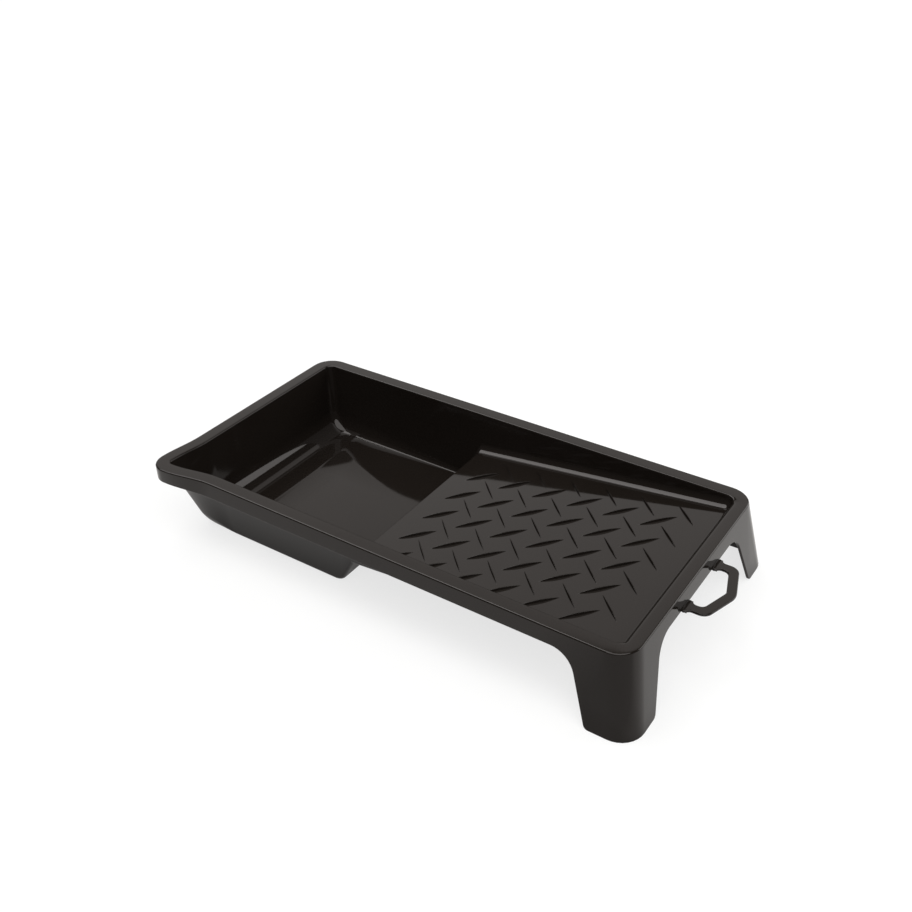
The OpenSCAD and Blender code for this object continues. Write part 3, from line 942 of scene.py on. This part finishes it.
# Each overhead light's name, the way to it, its width and its strength
OVERHEADS = (
    ("overhead light", (0.3, -0.35, 0.89), math.radians(58), 1.75),
    ("front left light", (-0.47, 0.03, 0.88), math.radians(42), 1.6),
)
# The softbox's name, its place, the point it is turned to, its width and height, and its power
SOFTBOX = ("back right softbox", (0.95, 1.0, 0.55), (0.1, 0, 0), (1.5, 0.9), 11)

# Camera of the photograph, worked out from the straight edges of the rim
VIEW_AIM = Vector((RIM_X - 25.65 * MM, 45.73 * MM, 23 * MM))
VIEW_DISTANCE = 633.03 * MM
VIEW_AZIMUTH = math.radians(34.45)
VIEW_ELEVATION = math.radians(33.03)
VIEW_ROLL = math.radians(-1.08)
VIEW_LENS = 42.34


def add_camera():
    """Camera at the photograph's angle."""
    camera = bpy.data.objects.new("view", bpy.data.cameras.new("view"))
    bpy.context.scene.collection.objects.link(camera)
    camera.data.lens = VIEW_LENS
    tilt = Euler((math.pi / 2 - VIEW_ELEVATION, 0, VIEW_AZIMUTH)).to_matrix()
    turn = tilt @ Matrix.Rotation(VIEW_ROLL, 3, "Z")
    back = turn @ Vector((0, 0, 1))
    camera.matrix_world = Matrix.Translation(VIEW_AIM + back * VIEW_DISTANCE) @ turn.to_4x4()
    bpy.context.scene.camera = camera


def add_softbox(name, place, aim, size, power):
    """Softbox of a width and height, turned to a point."""
    lamp = bpy.data.lights.new(name, "AREA")
    lamp.shape = "RECTANGLE"
    lamp.size, lamp.size_y = size
    lamp.energy = power
    box = bpy.data.objects.new(name, lamp)
    bpy.context.scene.collection.objects.link(box)
    turn = (Vector(place) - Vector(aim)).to_track_quat("Z", "Y")
    box.matrix_world = Matrix.Translation(place) @ turn.to_matrix().to_4x4()


def add_overhead(name, way, width, strength):
    """Wide soft light from far off in a direction, as even over the floor as over the tray."""
    lamp = bpy.data.lights.new(name, "SUN")
    lamp.angle = width
    lamp.energy = strength
    light = bpy.data.objects.new(name, lamp)
    bpy.context.scene.collection.objects.link(light)
    light.matrix_world = Vector(way).to_track_quat("Z", "Y").to_matrix().to_4x4()


def set_world():
    """Room round the studio: dark, with a wide pale board that stands behind the tray on the left."""
    world = bpy.data.worlds.new("studio room")
    bpy.context.scene.world = world
    tree = fresh_tree(world)
    way = add_node(tree, "ShaderNodeTexCoord").outputs["Generated"]
    parts = add_node(tree, "ShaderNodeSeparateXYZ", {"Vector": way}).outputs
    level = add_node(tree, "ShaderNodeCombineXYZ", {"X": parts["X"], "Y": parts["Y"]})
    level = add_node(tree, "ShaderNodeVectorMath", {0: level.outputs[0]}, operation="NORMALIZE")
    aside = add_node(
        tree, "ShaderNodeVectorMath", {0: level.outputs[0], 1: BOARD_WAY}, operation="DOT_PRODUCT")
    across = add_node(
        tree, RANGE, {"Value": aside.outputs["Value"]}, interpolation_type="SMOOTHSTEP",
        From_Min=math.cos(BOARD_HALF + BOARD_FADE), From_Max=math.cos(BOARD_HALF))
    under_top = add_node(
        tree, RANGE, {"Value": parts["Z"]}, interpolation_type="SMOOTHSTEP",
        From_Min=BOARD_TOP[0], From_Max=BOARD_TOP[1], To_Min=1.0, To_Max=0.0)
    over_foot = add_node(
        tree, RANGE, {"Value": parts["Z"]}, interpolation_type="SMOOTHSTEP",
        From_Min=BOARD_FOOT[0], From_Max=BOARD_FOOT[1])
    board = add_node(
        tree, MATHS, {0: under_top.outputs["Result"], 1: over_foot.outputs["Result"]},
        operation="MULTIPLY").outputs[0]
    board = add_node(
        tree, MATHS, {0: across.outputs["Result"], 1: board}, operation="MULTIPLY").outputs[0]
    strength = add_node(tree, RANGE, {"Value": board}, To_Min=ROOM, To_Max=BOARD)
    beside = add_node(tree, "ShaderNodeVectorMath", {0: way, 1: PANEL_WAY}, operation="DOT_PRODUCT")
    panel = add_node(
        tree, RANGE, {"Value": beside.outputs["Value"]}, interpolation_type="SMOOTHSTEP",
        From_Min=math.cos(PANEL_HALF + PANEL_FADE), From_Max=math.cos(PANEL_HALF), To_Max=PANEL)
    glow = add_node(
        tree, MATHS, {0: strength.outputs["Result"], 1: panel.outputs["Result"]}, operation="ADD")
    room = add_node(tree, "ShaderNodeBackground", {"Strength": glow.outputs[0]}, Color=WARM)
    white = add_node(tree, "ShaderNodeBackground", Color=WHITE, Strength=1.0)
    seen = add_node(tree, "ShaderNodeLightPath").outputs["Is Camera Ray"]
    both = add_node(tree, "ShaderNodeMixShader", {0: seen, 1: room.outputs[0], 2: white.outputs[0]})
    add_node(tree, "ShaderNodeOutputWorld", {"Surface": both.outputs[0]})


class TRAY_OT_stage(bpy.types.Operator):
    """Make the floor, the lights and the camera"""

    bl_idname = "tray.stage"
    bl_label = "Studio"

    def execute(self, context):
        scene = context.scene
        scene.view_settings.view_transform = "Standard"
        bm = bmesh.new()
        bmesh.ops.create_grid(bm, x_segments=1, y_segments=1, size=FLOOR_HALF)
        mesh = bpy.data.meshes.new("floor")
        bm.to_mesh(mesh)
        bm.free()
        mesh.materials.append(studio_floor())
        floor = bpy.data.objects.new("floor", mesh)
        scene.collection.objects.link(floor)
        add_camera()
        set_world()
        for light in OVERHEADS:
            add_overhead(*light)
        add_softbox(*SOFTBOX)
        return {"FINISHED"}


class TRAY_PT_panel(bpy.types.Panel):
    """Buttons for the tray's pieces, with their sizes"""

    bl_idname = "TRAY_PT_panel"
    bl_label = "Paint Tray"
    bl_space_type = "VIEW_3D"
    bl_region_type = "UI"
    bl_category = "Paint Tray"

    def draw(self, context):
        for operator in OPERATORS:
            self.layout.operator(operator.bl_idname)
        held = settings()
        for group in (held.moulding, held.tread, held.loop, held.finish):
            box = self.layout.box()
            for name in group.__annotations__:
                box.prop(group, name)


OPERATORS = (TRAY_OT_moulding, TRAY_OT_tread, TRAY_OT_loop, TRAY_OT_films, TRAY_OT_stage)
CLASSES = (MouldingSizes, TreadSizes, LoopSizes, Finish, TraySettings, *OPERATORS, TRAY_PT_panel)


def register():
    """Add the classes and the scene's settings."""
    for item in CLASSES:
        bpy.utils.register_class(item)
    bpy.types.Scene.paint_tray = PointerProperty(type=TraySettings)


def unregister():
    """Take them away again."""
    del bpy.types.Scene.paint_tray
    for item in reversed(CLASSES):
        bpy.utils.unregister_class(item)


def main():
    """Make the tray and its studio."""
    register()
    bpy.ops.tray.moulding()
    bpy.ops.tray.tread()
    bpy.ops.tray.loop()
    bpy.ops.tray.films()
    bpy.ops.tray.stage()


if __name__ == "__main__":
    main()
